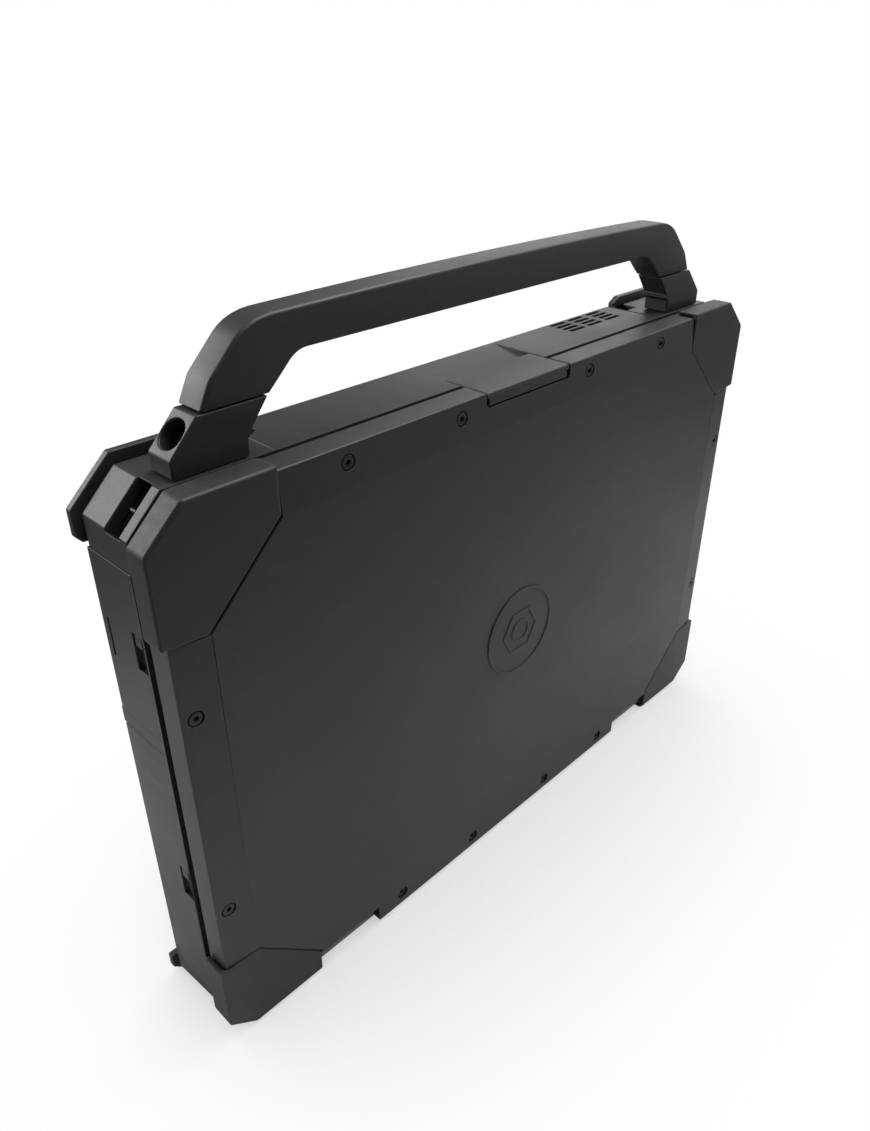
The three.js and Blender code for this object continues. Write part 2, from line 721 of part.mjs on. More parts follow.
// A cylinder square to a bracket's sloped face, from one depth to another.
function handleBolt(side, radius, inner, outer, sides) {
  const geometry = new THREE.CylinderGeometry(radius, radius, outer - inner, sides);
  geometry.translate(0, (inner + outer) / 2, 0);
  geometry.rotateX(Math.PI / 2);
  geometry.rotateY(side * BRACKET_SLOPE);
  geometry.translate(side * WELL[0], WELL[1], WELL[2]);
  return toSolid(geometry);
}

function handleScrew(side) {
  const head = handleBolt(side, 4.4, -7.6, -5, 16);
  return head.subtract(handleBolt(side, 2, -6.4, -3, 6));
}

function handleBracket(side) {
  const outline = [
    [126.8, SHELL_TOP + GAP],
    [BRACKET_SHOULDER[0], SHELL_TOP + GAP],
    BRACKET_SHOULDER,
    [BRACKET_CREST_X, BRACKET_TOP],
    [117.4, BRACKET_TOP],
    [124.8, 255.4],
    [122.9, 254.3],
    [126.6, 252.6],
  ];
  const body = slab(flip(outline, side), HANDLE_FRONT, BRACKET_BACK);
  const socket = box(spanOn(side, 128, 138), [19.7, 26.7], [255.7, 266]);
  return cutBy(body, [handleBolt(side, WELL_R, -8, 8, 20), socket]);
}

function handleGrip() {
  const low = BRACKET_TOP + 0.6;
  const shoulder = GRIP_TOP - 1.4;
  const shape = new THREE.Shape();
  shape.moveTo(143.2, low);
  shape.lineTo(138.5, 274.2);
  shape.lineTo(128, 284.8);
  shape.quadraticCurveTo(122.6, 290.2, 113, shoulder);
  shape.quadraticCurveTo(0, 2 * GRIP_TOP - shoulder, -113, shoulder);
  shape.quadraticCurveTo(-122.6, 290.2, -128, 284.8);
  shape.lineTo(-138.5, 274.2);
  shape.lineTo(-143.2, low);
  shape.lineTo(-116.3, low);
  shape.lineTo(-107.2, 273.7);
  shape.quadraticCurveTo(-103.9, 276.8, -99.5, 276.8);
  shape.lineTo(99.5, 276.8);
  shape.quadraticCurveTo(103.9, 276.8, 107.2, 273.7);
  shape.lineTo(116.3, low);
  const outline = shape.getPoints(6).map(({ x, y }) => [x, y]);
  const tongues = [1, -1].map((side) =>
    box(spanOn(side, 128.4, 137.6), [20, 26.4], [256, low + 1.4]));
  return joined([slab(outline.slice(0, -1), HANDLE_FRONT, HANDLE_BACK), ...tongues]);
}

// ---- Assembly ----

const laptop = new THREE.Group();
laptop.position.y = -THICKNESS / 2;

function add(name, solid, look) {
  const mesh = new THREE.Mesh(toGeometry(solid), finish(...look));
  mesh.name = name;
  laptop.add(mesh);
}

const SIDES = [['left', 1], ['right', -1]];

add('lid_cover', lidCover(), BLACK_SHELL);
add('lid_chassis', lidChassis(), DARK_METAL);
add('display_panel', slab(rect(PANEL.half, PANEL.low, PANEL.high), 6.9, 11), DARK_METAL);
add('touch_glass', slab(rect(PANEL.half + 3, PANEL.low - 4, PANEL.high), 11.3, 12.8), GLASS);
add('display_bezel', displayBezel(), KEY_BLACK);
add('lid_gasket', lidGasket(), BLACK_RUBBER);
add('camera_module', cameraModule(), GLASS);
add('camera_shutter', box([-11, -3.6], [15.5, 16.4], [222, 229]), KEY_BLACK);
add('lid_latch', lidLatch(), BLACK_SHELL);
add('latch_pin', rod(LATCH_PIN_R, [-29, 29], LATCH_AXIS, 12), STEEL);
for (const [word, side] of SIDES) {
  add(`front_bumper_${word}`, lidBumper(FRONT_BUMPER, side, BUMPER_END.front), BLACK_RUBBER);
  add(`rear_bumper_${word}`, rearBumper(side), BLACK_RUBBER);
  add(`hinge_pin_${word}`, rod(HINGE_PIN_R, spanOn(side, 86, 139), HINGE), STEEL);
  add(`hinge_bracket_${word}`, hingeBracket(side), DARK_METAL);
  add(`front_cap_${word}`, frontCap(side), BLACK_SHELL);
  add(`rear_foot_${word}`, rearFoot(side), BLACK_RUBBER);
  add(`handle_bracket_${word}`, handleBracket(side), BLACK_SHELL);
  add(`handle_screw_${word}`, handleScrew(side), STEEL);
  const pad = spanOn(side, 0.6, PAD.half - 0.5);
  add(`pad_button_${word}`, box(pad, [17.6, 20.4], grown(PAD_BUTTON_Z, -0.5)), KEY_BLACK);
}
SCREW_SITES.slice(4, 8).forEach((site, i) => add(`lid_screw_${i + 1}`, lidScrew(site), STEEL));
add('base_housing', baseHousing(), BLACK_SHELL);
add('base_deck', baseDeck(), BLACK_SHELL);
add('bottom_cover', bottomCover(), BLACK_SHELL);
add('dock_connector', dockConnector(), KEY_BLACK);
add('handle_grip', handleGrip(), BLACK_SHELL);
add('keyboard_frame', keyboardFrame(), KEY_BLACK);
add('key_escape', cap(ESCAPE, 0), KEY_BLACK);
add('key_enter', cap(ENTER, 3), KEY_BLACK);
add('key_space', cap([-SPACE_HALF, SPACE_HALF], 5), KEY_BLACK);
add('touchpad', slab(rect(PAD.half - 0.5, PAD.low + 0.5, PAD.high - 0.5), 17.5, 19.5), KEY_BLACK);
add('power_button', disc(POWER_R, [17.4, 20.6], POWER_SITE, 20), DARK_METAL);
add('drive_door', driveDoor(), BLACK_SHELL);
add('drive_door_latch', doorLatch(DRIVE_NOTCH_Z), KEY_BLACK);
add('battery_door', sideDoor(BATTERY_DOOR_Z, BATTERY_NOTCH_Z), BLACK_SHELL);
add('battery_door_latch', doorLatch(BATTERY_NOTCH_Z), KEY_BLACK);
add('port_door', portDoor(), BLACK_RUBBER);
add('port_block', portBlock(), STEEL);
add('power_inlet', powerInlet(), STEEL);
add('motherboard', motherboard(), CIRCUIT);
add('fan_housing', fanHousing(), DARK_METAL);
add('fan_impeller', fanImpeller(), KEY_BLACK);
add('heat_sink', heatSink(), STEEL);
add('battery_pack', box([-170.4, -62], [23.8, 42.6], [18, 143]), KEY_BLACK);
add('speaker', box([66, 108], [29, 42], [226, 235]), DARK_METAL);
add('drive_caddy', box([-166.5, -68], [26, 40], [156, 218]), DARK_METAL);

export default laptop;
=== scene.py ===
"""A rugged laptop computer, closed and standing on its hinge edge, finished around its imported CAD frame."""
import json
import math

import bmesh
import bpy
from mathutils import Matrix, Vector


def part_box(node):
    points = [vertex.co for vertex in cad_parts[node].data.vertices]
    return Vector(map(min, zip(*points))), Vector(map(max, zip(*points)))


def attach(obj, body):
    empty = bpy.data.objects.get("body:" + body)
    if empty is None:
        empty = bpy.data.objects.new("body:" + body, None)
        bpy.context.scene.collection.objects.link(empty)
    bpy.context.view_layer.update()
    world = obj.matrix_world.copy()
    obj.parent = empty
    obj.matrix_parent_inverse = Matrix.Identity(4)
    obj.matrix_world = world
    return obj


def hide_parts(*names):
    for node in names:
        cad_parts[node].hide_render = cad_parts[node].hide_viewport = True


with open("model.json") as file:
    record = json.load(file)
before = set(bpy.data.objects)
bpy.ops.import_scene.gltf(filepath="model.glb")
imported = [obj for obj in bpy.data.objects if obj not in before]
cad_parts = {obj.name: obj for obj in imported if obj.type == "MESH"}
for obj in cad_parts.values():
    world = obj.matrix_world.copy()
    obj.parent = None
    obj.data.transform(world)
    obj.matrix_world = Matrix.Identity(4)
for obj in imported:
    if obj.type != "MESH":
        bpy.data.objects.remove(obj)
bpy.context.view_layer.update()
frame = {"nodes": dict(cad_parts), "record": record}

MM = 0.001
TAU = 2 * math.pi


# ---- Places on the object ----

class Site:
    """A flat place: its origin in metres, and its own across, up and outward directions, run in millimetres."""

    def __init__(self, origin, across, up):
        self.origin = Vector(origin)
        self.across = Vector(across)
        self.up = Vector(up)
        self.out = self.across.cross(self.up)

    def at(self, u, v, n=0.0):
        return self.origin + (self.across * u + self.up * v + self.out * n) * MM

    def turn(self):
        """The matrix that carries flat lettering onto this place."""
        return Matrix((self.across, self.up, self.out)).transposed().to_4x4()


def node_mm(name):
    """A node's box as three (low, high) pairs in millimetres."""
    low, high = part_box(name)
    return [(low[i] / MM, high[i] / MM) for i in range(3)]


def middle(span):
    return (span[0] + span[1]) / 2


LID = node_mm("lid_cover")
lid_face = Site((0, LID[1][0] * MM, 0), (1, 0, 0), (0, 0, 1))
KEY_TOP = node_mm("key_space")[1][0]
# The keyboard is read from the lid's side with the hinge edge away from the user, so across runs towards -X.
key_face = Site((0, KEY_TOP * MM, 0), (-1, 0, 0), (0, 0, -1))
bottom_face = Site((0, node_mm("bottom_cover")[1][1] * MM, 0), (-1, 0, 0), (0, 0, 1))


# ---- Shader building ----

class Shader:
    """A material's node tree with short calls for the nodes used here."""

    def __init__(self, name):
        self.material = bpy.data.materials.new(name)
        self.material.use_nodes = True
        self.tree = self.material.node_tree
        self.surface = self.tree.nodes["Principled BSDF"]
        self.place = self.add("ShaderNodeTexCoord").outputs["Object"]

    def add(self, kind, **values):
        node = self.tree.nodes.new(kind)
        for key, value in values.items():
            setattr(node, key, value)
        return node

    def link(self, source, target):
        self.tree.links.new(source, target)

    def noise(self, scale, detail=3, roughness=0.55, stretch=None):
        """A noise's strength, 0 to 1, with its scale in features per metre."""
        node = self.add("ShaderNodeTexNoise")
        node.inputs["Scale"].default_value = scale
        node.inputs["Detail"].default_value = detail
        node.inputs["Roughness"].default_value = roughness
        place = self.place
        if stretch:
            mapping = self.add("ShaderNodeMapping")
            mapping.inputs["Scale"].default_value = stretch
            self.link(place, mapping.inputs["Vector"])
            place = mapping.outputs["Vector"]
        self.link(place, node.inputs["Vector"])
        return node.outputs["Fac"]

    def cells(self, scale, feature="F1"):
        node = self.add("ShaderNodeTexVoronoi", feature=feature)
        node.inputs["Scale"].default_value = scale
        self.link(self.place, node.inputs["Vector"])
        return node.outputs["Distance"]

    def spread(self, source, low, high, to_low=0.0, to_high=1.0):
        """source from low..high, carried to to_low..to_high and held there."""
        node = self.add("ShaderNodeMapRange")
        limits = {"From Min": low, "From Max": high, "To Min": to_low, "To Max": to_high}
        for key, value in limits.items():
            node.inputs[key].default_value = value
        self.link(source, node.inputs["Value"])
        return node.outputs["Result"]

    def maths(self, operation, first, second):
        node = self.add("ShaderNodeMath", operation=operation)
        for value, socket in zip((first, second), node.inputs):
            if isinstance(value, (int, float)):
                socket.default_value = value
            else:
                self.link(value, socket)
        return node.outputs["Value"]

    def mix(self, factor, first, second):
        """A colour between two, each a colour or a socket."""
        node = self.add("ShaderNodeMix", data_type="RGBA")
        sockets = [node.inputs[0], node.inputs[6], node.inputs[7]]
        for value, socket in zip((factor, first, second), sockets):
            if isinstance(value, bpy.types.NodeSocket):
                self.link(value, socket)
            else:
                socket.default_value = (*value, 1) if isinstance(value, tuple) else value
        return node.outputs[2]

    def bump(self, height, depth, strength=1.0, below=None):
        """A bump of a real depth in metres, laid over another."""
        node = self.add("ShaderNodeBump")
        node.inputs["Distance"].default_value = depth
        node.inputs["Strength"].default_value = strength
        self.link(height, node.inputs["Height"])
        if below is not None:
            self.link(below, node.inputs["Normal"])
        return node.outputs["Normal"]

    def edges(self, reach):
        """About 1 on the outer edges of the shape, 0 on its flats."""
        bevel = self.add("ShaderNodeBevel", samples=6)
        bevel.inputs["Radius"].default_value = reach
        shape = self.add("ShaderNodeNewGeometry")
        dot = self.add("ShaderNodeVectorMath", operation="DOT_PRODUCT")
        self.link(bevel.outputs["Normal"], dot.inputs[0])
        self.link(shape.outputs["Normal"], dot.inputs[1])
        return self.spread(dot.outputs["Value"], 0.995, 0.9)

    def finish(self, color, roughness, normal=None, metallic=0.0, specular=0.5):
        for value, key in ((color, "Base Color"), (roughness, "Roughness"), (normal, "Normal")):
            if value is None:
                continue
            if isinstance(value, bpy.types.NodeSocket):
                self.link(value, self.surface.inputs[key])
            else:
                self.surface.inputs[key].default_value = (*value, 1) if isinstance(value, tuple) else value
        self.surface.inputs["Metallic"].default_value = metallic
        self.surface.inputs["Specular IOR Level"].default_value = specular
        return self.material


def painted_shell():
    """Satin black powder paint on magnesium: fine orange-peel grain, faint handling marks, rubbed edges."""
    s = Shader("painted_shell")
    mottle = s.noise(18, 4)
    cloud = s.noise(260, 2)
    grain = s.noise(2600, 2)
    peel = s.noise(900, 2)
    marks = s.noise(30, 5, 0.7, (1.0, 1.0, 7.0))
    worn = s.maths("MULTIPLY", s.edges(0.0005), s.spread(s.noise(140, 4), 0.42, 0.66))
    base = s.mix(s.spread(mottle, 0.3, 0.7), (0.0145, 0.0147, 0.0195), (0.0190, 0.0190, 0.0230))
    base = s.mix(s.spread(cloud, 0.35, 0.75, 0.0, 0.5), base, (0.0245, 0.0243, 0.0275))
    base = s.mix(s.maths("MULTIPLY", worn, 0.55), base, (0.075, 0.073, 0.070))
    rough = s.maths("ADD", s.spread(mottle, 0.3, 0.7, 0.47, 0.55), s.spread(grain, 0.3, 0.7, -0.04, 0.05))
    rough = s.maths("SUBTRACT", rough, s.spread(marks, 0.55, 0.8, 0.0, 0.07))
    normal = s.bump(peel, 0.00002, below=s.bump(grain, 0.000012))
    return s.finish(base, rough, normal)


def moulded_rubber():
    """Matt black elastomer: a close stipple, slightly greyed where it is rubbed."""
    s = Shader("moulded_rubber")
    patch = s.noise(22, 4)
    stipple = s.cells(2300)
    dust = s.noise(420, 5, 0.65)
    worn = s.maths("MULTIPLY", s.edges(0.0009), s.spread(s.noise(90, 4), 0.4, 0.7))
    base = s.mix(s.spread(patch, 0.3, 0.7), (0.0140, 0.0142, 0.0185), (0.0190, 0.0190, 0.0225))
    base = s.mix(s.spread(dust, 0.55, 0.8, 0.0, 0.4), base, (0.036, 0.035, 0.034))
    base = s.mix(s.maths("MULTIPLY", worn, 0.6), base, (0.060, 0.058, 0.056))
    rough = s.maths("ADD", s.spread(patch, 0.3, 0.7, 0.55, 0.63), s.spread(dust, 0.3, 0.8, -0.03, 0.06))
    normal = s.bump(stipple, 0.00003, 0.7, s.bump(s.noise(700, 2), 0.00003))
    return s.finish(base, rough, normal)


def anodised():
    """Dark anodised sheet metal with a brushed grain across the width."""
    s = Shader("anodised")
    brush = s.noise(900, 4, 0.6, (0.04, 1.0, 1.0))
    patch = s.noise(35, 4)
    worn = s.maths("MULTIPLY", s.edges(0.0004), s.spread(s.noise(160, 3), 0.4, 0.65))
    base = s.mix(s.spread(brush, 0.3, 0.7), (0.10, 0.10, 0.107), (0.155, 0.155, 0.162))
    base = s.mix(worn, base, (0.32, 0.32, 0.33))
    rough = s.maths("ADD", s.spread(patch, 0.3, 0.7, 0.34, 0.44), s.spread(brush, 0.3, 0.7, -0.04, 0.06))
    return s.finish(base, rough, s.bump(brush, 0.00001), metallic=0.85)


def plated_steel():
    """Zinc-plated steel with a fine turned grain and dull patches."""
    s = Shader("plated_steel")
    grain = s.noise(1500, 3, 0.6, (1.0, 0.12, 1.0))
    patch = s.noise(80, 4)
    base = s.mix(s.spread(patch, 0.3, 0.7), (0.40, 0.40, 0.41), (0.53, 0.53, 0.52))
    rough = s.maths("ADD", s.spread(patch, 0.3, 0.7, 0.26, 0.38), s.spread(grain, 0.3, 0.7, -0.04, 0.05))
    return s.finish(base, rough, s.bump(grain, 0.000008), metallic=1.0)


def black_oxide():
    """A screw's black oxide, rubbed through to steel on its edges."""
    s = Shader("black_oxide")
    patch = s.noise(300, 4)
    worn = s.maths("MULTIPLY", s.edges(0.00025), s.spread(s.noise(700, 3), 0.35, 0.6))
    base = s.mix(s.spread(patch, 0.3, 0.7), (0.020, 0.020, 0.022), (0.036, 0.035, 0.036))
    base = s.mix(worn, base, (0.14, 0.135, 0.13))
    rough = s.spread(patch, 0.3, 0.7, 0.34, 0.48)
    return s.finish(base, rough, s.bump(s.noise(3000, 2), 0.000006), metallic=0.55)


def screen_glass():
    """Anti-glare glass over a dark panel, with a faint etched sparkle and finger smears."""
    s = Shader("screen_glass")
    sparkle = s.noise(5200, 2)
    smear = s.noise(26, 5, 0.6, (1.0, 1.0, 2.2))
    base = s.mix(s.spread(smear, 0.45, 0.7), (0.0050, 0.0052, 0.0065), (0.0085, 0.0087, 0.0100))
    rough = s.maths("ADD", s.spread(smear, 0.4, 0.75, 0.13, 0.26), s.spread(sparkle, 0.3, 0.7, -0.02, 0.03))
    return s.finish(base, rough, s.bump(sparkle, 0.000003), specular=0.55)


def circuit_board():
    """Green solder mask with faint copper tracks beneath it."""
    s = Shader("circuit_board")
    tracks = s.noise(420, 1, 0.4, (1.0, 1.0, 0.25))
    lines = s.spread(tracks, 0.49, 0.51)
    patch = s.noise(60, 3)
    base = s.mix(lines, (0.010, 0.060, 0.030), (0.020, 0.105, 0.050))
    base = s.mix(s.spread(patch, 0.4, 0.8, 0.0, 0.5), base, (0.012, 0.045, 0.026))
    return s.finish(base, s.spread(patch, 0.3, 0.7, 0.3, 0.42), s.bump(lines, 0.00003))


def moulded_plastic():
    """Black moulded plastic with an even spark-eroded texture, polished a little by use."""
    s = Shader("moulded_plastic")
    patch = s.noise(45, 4)
    grain = s.noise(3200, 2)
    polish = s.noise(120, 3)
    base = s.mix(s.spread(patch, 0.3, 0.7), (0.0120, 0.0120, 0.0130), (0.0190, 0.0188, 0.0195))
    base = s.mix(s.spread(grain, 0.45, 0.75, 0.0, 0.35), base, (0.030, 0.030, 0.031))
    rough = s.maths("ADD", s.spread(polish, 0.3, 0.7, 0.48, 0.6), s.spread(grain, 0.3, 0.7, -0.03, 0.04))
    return s.finish(base, rough, s.bump(grain, 0.000014))


def printed_legend():
    """Pale grey laser-marked legends, a little uneven."""
    s = Shader("printed_legend")
    patch = s.noise(900, 3)
    return s.finish(s.mix(s.spread(patch, 0.3, 0.7), (0.36, 0.36, 0.37), (0.48, 0.48, 0.49)), 0.6)


def dark_panel():
    """An unlit LCD behind glass: deep blue-black with a fine cell structure."""
    s = Shader("dark_panel")
    cell = s.cells(3600)
    smear = s.noise(20, 5, 0.6)
    base = s.mix(s.spread(cell, 0.1, 0.5), (0.0080, 0.0088, 0.0115), (0.0120, 0.0128, 0.0160))
    return s.finish(base, s.spread(smear, 0.3, 0.75, 0.14, 0.24), s.bump(cell, 0.000002), specular=0.55)


def satin_pad():
    """A smooth matt touch surface, polished a little in the middle."""
    s = Shader("satin_pad")
    grain, polish = s.noise(3600, 2), s.noise(40, 3)
    base = s.mix(s.spread(polish, 0.3, 0.7), (0.0180, 0.0180, 0.0190), (0.0240, 0.0240, 0.0250))
    return s.finish(base, s.spread(polish, 0.3, 0.7, 0.40, 0.5), s.bump(grain, 0.000006))


FINISHES = {
    "black_shell": painted_shell(),
    "black_rubber": moulded_rubber(),
    "dark_metal": anodised(),
    "steel": plated_steel(),
    "screw_black": black_oxide(),
    "screen_glass": screen_glass(),
    "circuit": circuit_board(),
    "key_black": moulded_plastic(),
    "legend": printed_legend(),
    "panel": dark_panel(),
    "pad": satin_pad(),
}


# ---- CAD nodes: rounded edges by modifiers, and their finish ----

FOLD_ANGLE, FOLD_RANGE = 5, 3   # folds kept crisp, in degrees: this angle, give or take the range
SHARP_ANGLE = 28                # degrees, above which an edge is rounded
RIM_MARGIN = 0.6                # mm inside the lid's outline that counts as its rim
INNER_SHARE = 0.25              # share of the lid's rounding that its inner edges take

def smoothing_group():
    """Geometry nodes that shade the faces smooth, keep shallow folds of 2 to 8 degrees crisp, and store how
    much of the rounding each edge takes."""
    group = bpy.data.node_groups.new("shade_smooth", "GeometryNodeTree")
    group.interface.new_socket("Geometry", in_out="INPUT", socket_type="NodeSocketGeometry")
    group.interface.new_socket("Geometry", in_out="OUTPUT", socket_type="NodeSocketGeometry")
    add, link = group.nodes.new, group.links.new
    smooth, crisp = add("GeometryNodeSetShadeSmooth"), add("GeometryNodeSetShadeSmooth")
    crisp.domain = "EDGE"
    crisp.inputs["Shade Smooth"].default_value = False
    angle = add("GeometryNodeInputMeshEdgeAngle")
    fold = add("FunctionNodeCompare")
    fold.operation = "EQUAL"
    fold.inputs["B"].default_value = math.radians(FOLD_ANGLE)
    fold.inputs["Epsilon"].default_value = math.radians(FOLD_RANGE)
    link(angle.outputs["Unsigned Angle"], fold.inputs["A"])
    link(fold.outputs["Result"], crisp.inputs["Selection"])
    link(add("NodeGroupInput").outputs[0], smooth.inputs["Geometry"])
    link(smooth.outputs["Geometry"], crisp.inputs["Geometry"])
    weight = edge_weight(add, link, angle.outputs["Unsigned Angle"])
    store = add("GeometryNodeStoreNamedAttribute")
    store.data_type, store.domain = "FLOAT", "EDGE"
    store.inputs["Name"].default_value = "bevel_weight_edge"
    link(weight, store.inputs["Value"])
    link(crisp.outputs["Geometry"], store.inputs["Geometry"])
    link(store.outputs["Geometry"], add("NodeGroupOutput").inputs[0])
    return group


def edge_weight(add, link, angle):
    """1 on the sharp edges round the lid's rim, a share of it on the sharp edges within, and 0 elsewhere."""
    def maths(operation, first, second):
        node = add("ShaderNodeMath")
        node.operation = operation
        for value, socket in zip((first, second), node.inputs):
            if isinstance(value, float):
                socket.default_value = value
            else:
                link(value, socket)
        return node.outputs[0]

    place = add("ShaderNodeSeparateXYZ")
    link(add("GeometryNodeInputPosition").outputs[0], place.inputs[0])
    across, up = maths("ABSOLUTE", place.outputs["X"], 0.0), place.outputs["Z"]
    margin = RIM_MARGIN * MM
    rim = maths("GREATER_THAN", across, LID[0][1] * MM - margin)
    rim = maths("ADD", rim, maths("GREATER_THAN", up, LID[2][1] * MM - margin))
    rim = maths("ADD", rim, maths("LESS_THAN", up, LID[2][0] * MM + margin))
    weight = maths("MINIMUM", maths("ADD", rim, INNER_SHARE), 1.0)
    return maths("MULTIPLY", weight, maths("GREATER_THAN", angle, math.radians(SHARP_ANGLE)))


SMOOTH = smoothing_group()


def round_edges(obj, width, segments):
    """Joins the flat facets and splits them evenly again, then rounds the sharp edges."""
    weld = obj.modifiers.new("weld", "WELD")
    weld.merge_threshold = 1e-6
    join = obj.modifiers.new("join", "DECIMATE")
    join.decimate_type = "DISSOLVE"
    join.angle_limit = 0.002
    split = obj.modifiers.new("split", "TRIANGULATE")
    split.min_vertices = 5
    split.ngon_method = "BEAUTY"
    smooth = obj.modifiers.new("smooth", "NODES")
    smooth.node_group = SMOOTH
    bevel = obj.modifiers.new("bevel", "BEVEL")
    bevel.width = width
    bevel.segments = segments
    bevel.limit_method = "WEIGHT" if obj.name == "lid_cover" else "ANGLE"
    bevel.angle_limit = math.radians(SHARP_ANGLE)
    bevel.use_clamp_overlap = False
    bevel.harden_normals = False
    bevel.miter_outer = "MITER_ARC" if segments > 2 else "MITER_SHARP"
    normals = obj.modifiers.new("normals", "WEIGHTED_NORMAL")
    normals.keep_sharp = True
    normals.weight = 80


# Rounding widths in metres. The front caps' is kept low, as a wider one runs into the drive door's swing.
EDGE = {
    "lid_cover": 0.0006, "base_housing": 0.00045, "lid_latch": 0.0005,
    "front_bumper_left": 0.0013, "front_bumper_right": 0.0013,
    "rear_bumper_left": 0.0011, "rear_bumper_right": 0.0011,
    "front_cap_left": 0.0005, "front_cap_right": 0.0005,
    "rear_foot_left": 0.0009, "rear_foot_right": 0.0009,
    "handle_bracket_left": 0.0007, "handle_bracket_right": 0.0007,
    "battery_pack": 0.0012, "drive_caddy": 0.0009,
}
PLAIN_EDGE = 0.00025


def dress_frame():
    """Gives each CAD node its finish and rounded edges. The handle's screws take the black screw finish."""
    slots = {row["node"]: row["material_slot"] for row in frame["record"]["subparts"]}
    for name, obj in frame["nodes"].items():
        finish = FINISHES["screw_black" if name.startswith("handle_screw") else slots[name]]
        if not obj.material_slots:
            obj.data.materials.append(finish)
        for place in obj.material_slots:
            place.material = finish
        round_edges(obj, EDGE.get(name, PLAIN_EDGE), 3 if name in EDGE else 2)


dress_frame()


# ---- Meshes from rings of points ----

def round_ring(radius, count=32):
    return [(radius * math.cos(TAU * i / count), radius * math.sin(TAU * i / count)) for i in range(count)]


def sided_ring(radius, sides, count=24):
    """A regular polygon's outline, walked at even angles."""
    step = TAU / sides
    ring = []
    for i in range(count):
        angle = TAU * i / count
        reach = radius * math.cos(step / 2) / math.cos(angle % step - step / 2)
        ring.append((reach * math.cos(angle), reach * math.sin(angle)))
    return ring


def rounded_rect(half_u, half_v, radius, steps=4):
    ring = []
    for corner, (su, sv) in enumerate(((1, 1), (-1, 1), (-1, -1), (1, -1))):
        for i in range(steps + 1):
            angle = (corner + i / steps) * math.pi / 2
            u = su * (half_u - radius) + radius * math.cos(angle)
            v = sv * (half_v - radius) + radius * math.sin(angle)
            ring.append((u, v))
    return ring


class Body:
    """One or more closed shells that make up a piece."""

    def __init__(self):
        self.mesh = bmesh.new()

    def skin(self, rings, loop=False):
        """A shell through rings of equal counts, capped at its ends, or closed on itself as a hoop."""
        rows = [[self.mesh.verts.new(point) for point in ring] for ring in rings]
        count = len(rows[0])
        pairs = list(zip(rows, rows[1:])) + ([(rows[-1], rows[0])] if loop else [])
        for low, high in pairs:
            for i in range(count):
                j = (i + 1) % count
                self.mesh.faces.new((low[i], low[j], high[j], high[i]))
        if not loop:
            self.mesh.faces.new(rows[0][::-1])
            self.mesh.faces.new(rows[-1])

    def stack(self, site, centre, layers, loop=False):
        """Outlines in the site's plane, each at its own height."""
        u, v = centre
        self.skin([[site.at(u + a, v + b, n) for a, b in ring] for ring, n in layers], loop)

    def pad(self, site, centre, halves, heights, radius, edge=0.3):
        """A block with rounded corners and a softened outer edge."""
        (half_u, half_v), (low, high) = halves, heights
        soft = ((0, -edge), (0.3 * edge, -0.3 * edge), (edge, 0))
        layers = [(rounded_rect(half_u, half_v, radius), low)]
        for inset, drop in soft:
            ring = rounded_rect(half_u - inset, half_v - inset, max(radius - inset, 0.05))
            layers.append((ring, high + drop))
        self.stack(site, centre, layers)

    def add_mesh(self, mesh):
        self.mesh.from_mesh(mesh)

    def piece(self, name, slot, body, *nodes, finish=None, crease=32):
        """Turns the shells into a piece that rides on a body, standing for the CAD nodes named."""
        bmesh.ops.recalc_face_normals(self.mesh, faces=self.mesh.faces)
        mesh = bpy.data.meshes.new(name)
        self.mesh.to_mesh(mesh)
        self.mesh.free()
        mesh.shade_smooth()
        mesh.set_sharp_from_angle(angle=math.radians(crease))
        mesh.materials.append(finish or FINISHES[slot])
        obj = bpy.data.objects.new(name, mesh)
        bpy.context.scene.collection.objects.link(obj)
        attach(obj, body)
        if nodes:
            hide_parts(*nodes)
        return obj


def lettering(words, site):
    """Raised generic legends in one body: each word is (text, u, v, size)."""
    body = Body()
    for text, u, v, size in words:
        curve = bpy.data.curves.new("word", "FONT")
        curve.body = text
        curve.size = size * MM
        curve.extrude = 0.02 * MM
        curve.resolution_u = 2
        curve.align_x = "CENTER"
        curve.align_y = "CENTER"
        word = bpy.data.objects.new("word", curve)
        mesh = bpy.data.meshes.new_from_object(word)
        mesh.transform(Matrix.Translation(site.at(u, v, 0.01)) @ site.turn())
        body.add_mesh(mesh)
        bpy.data.objects.remove(word)
        bpy.data.meshes.remove(mesh)
        bpy.data.curves.remove(curve)
    bmesh.ops.remove_doubles(body.mesh, verts=body.mesh.verts, dist=1e-7)
    return body


# ---- Lid ----

def hex_screw(body, site, centre, radius=2.7, thick=1.45):
    """A low round head with a hexagon socket, seated at the site's height."""
    socket = 0.48 * radius
    body.stack(site, centre, [
        (round_ring(radius, 24), 0),
        (round_ring(radius, 24), thick - 0.3),
        (round_ring(radius - 0.1, 24), thick - 0.1),
        (round_ring(radius - 0.35, 24), thick),
        (round_ring(socket + 0.25, 24), thick),
        (sided_ring(socket, 6), thick - 0.12),
        (sided_ring(socket, 6), thick - 1.0),
    ])


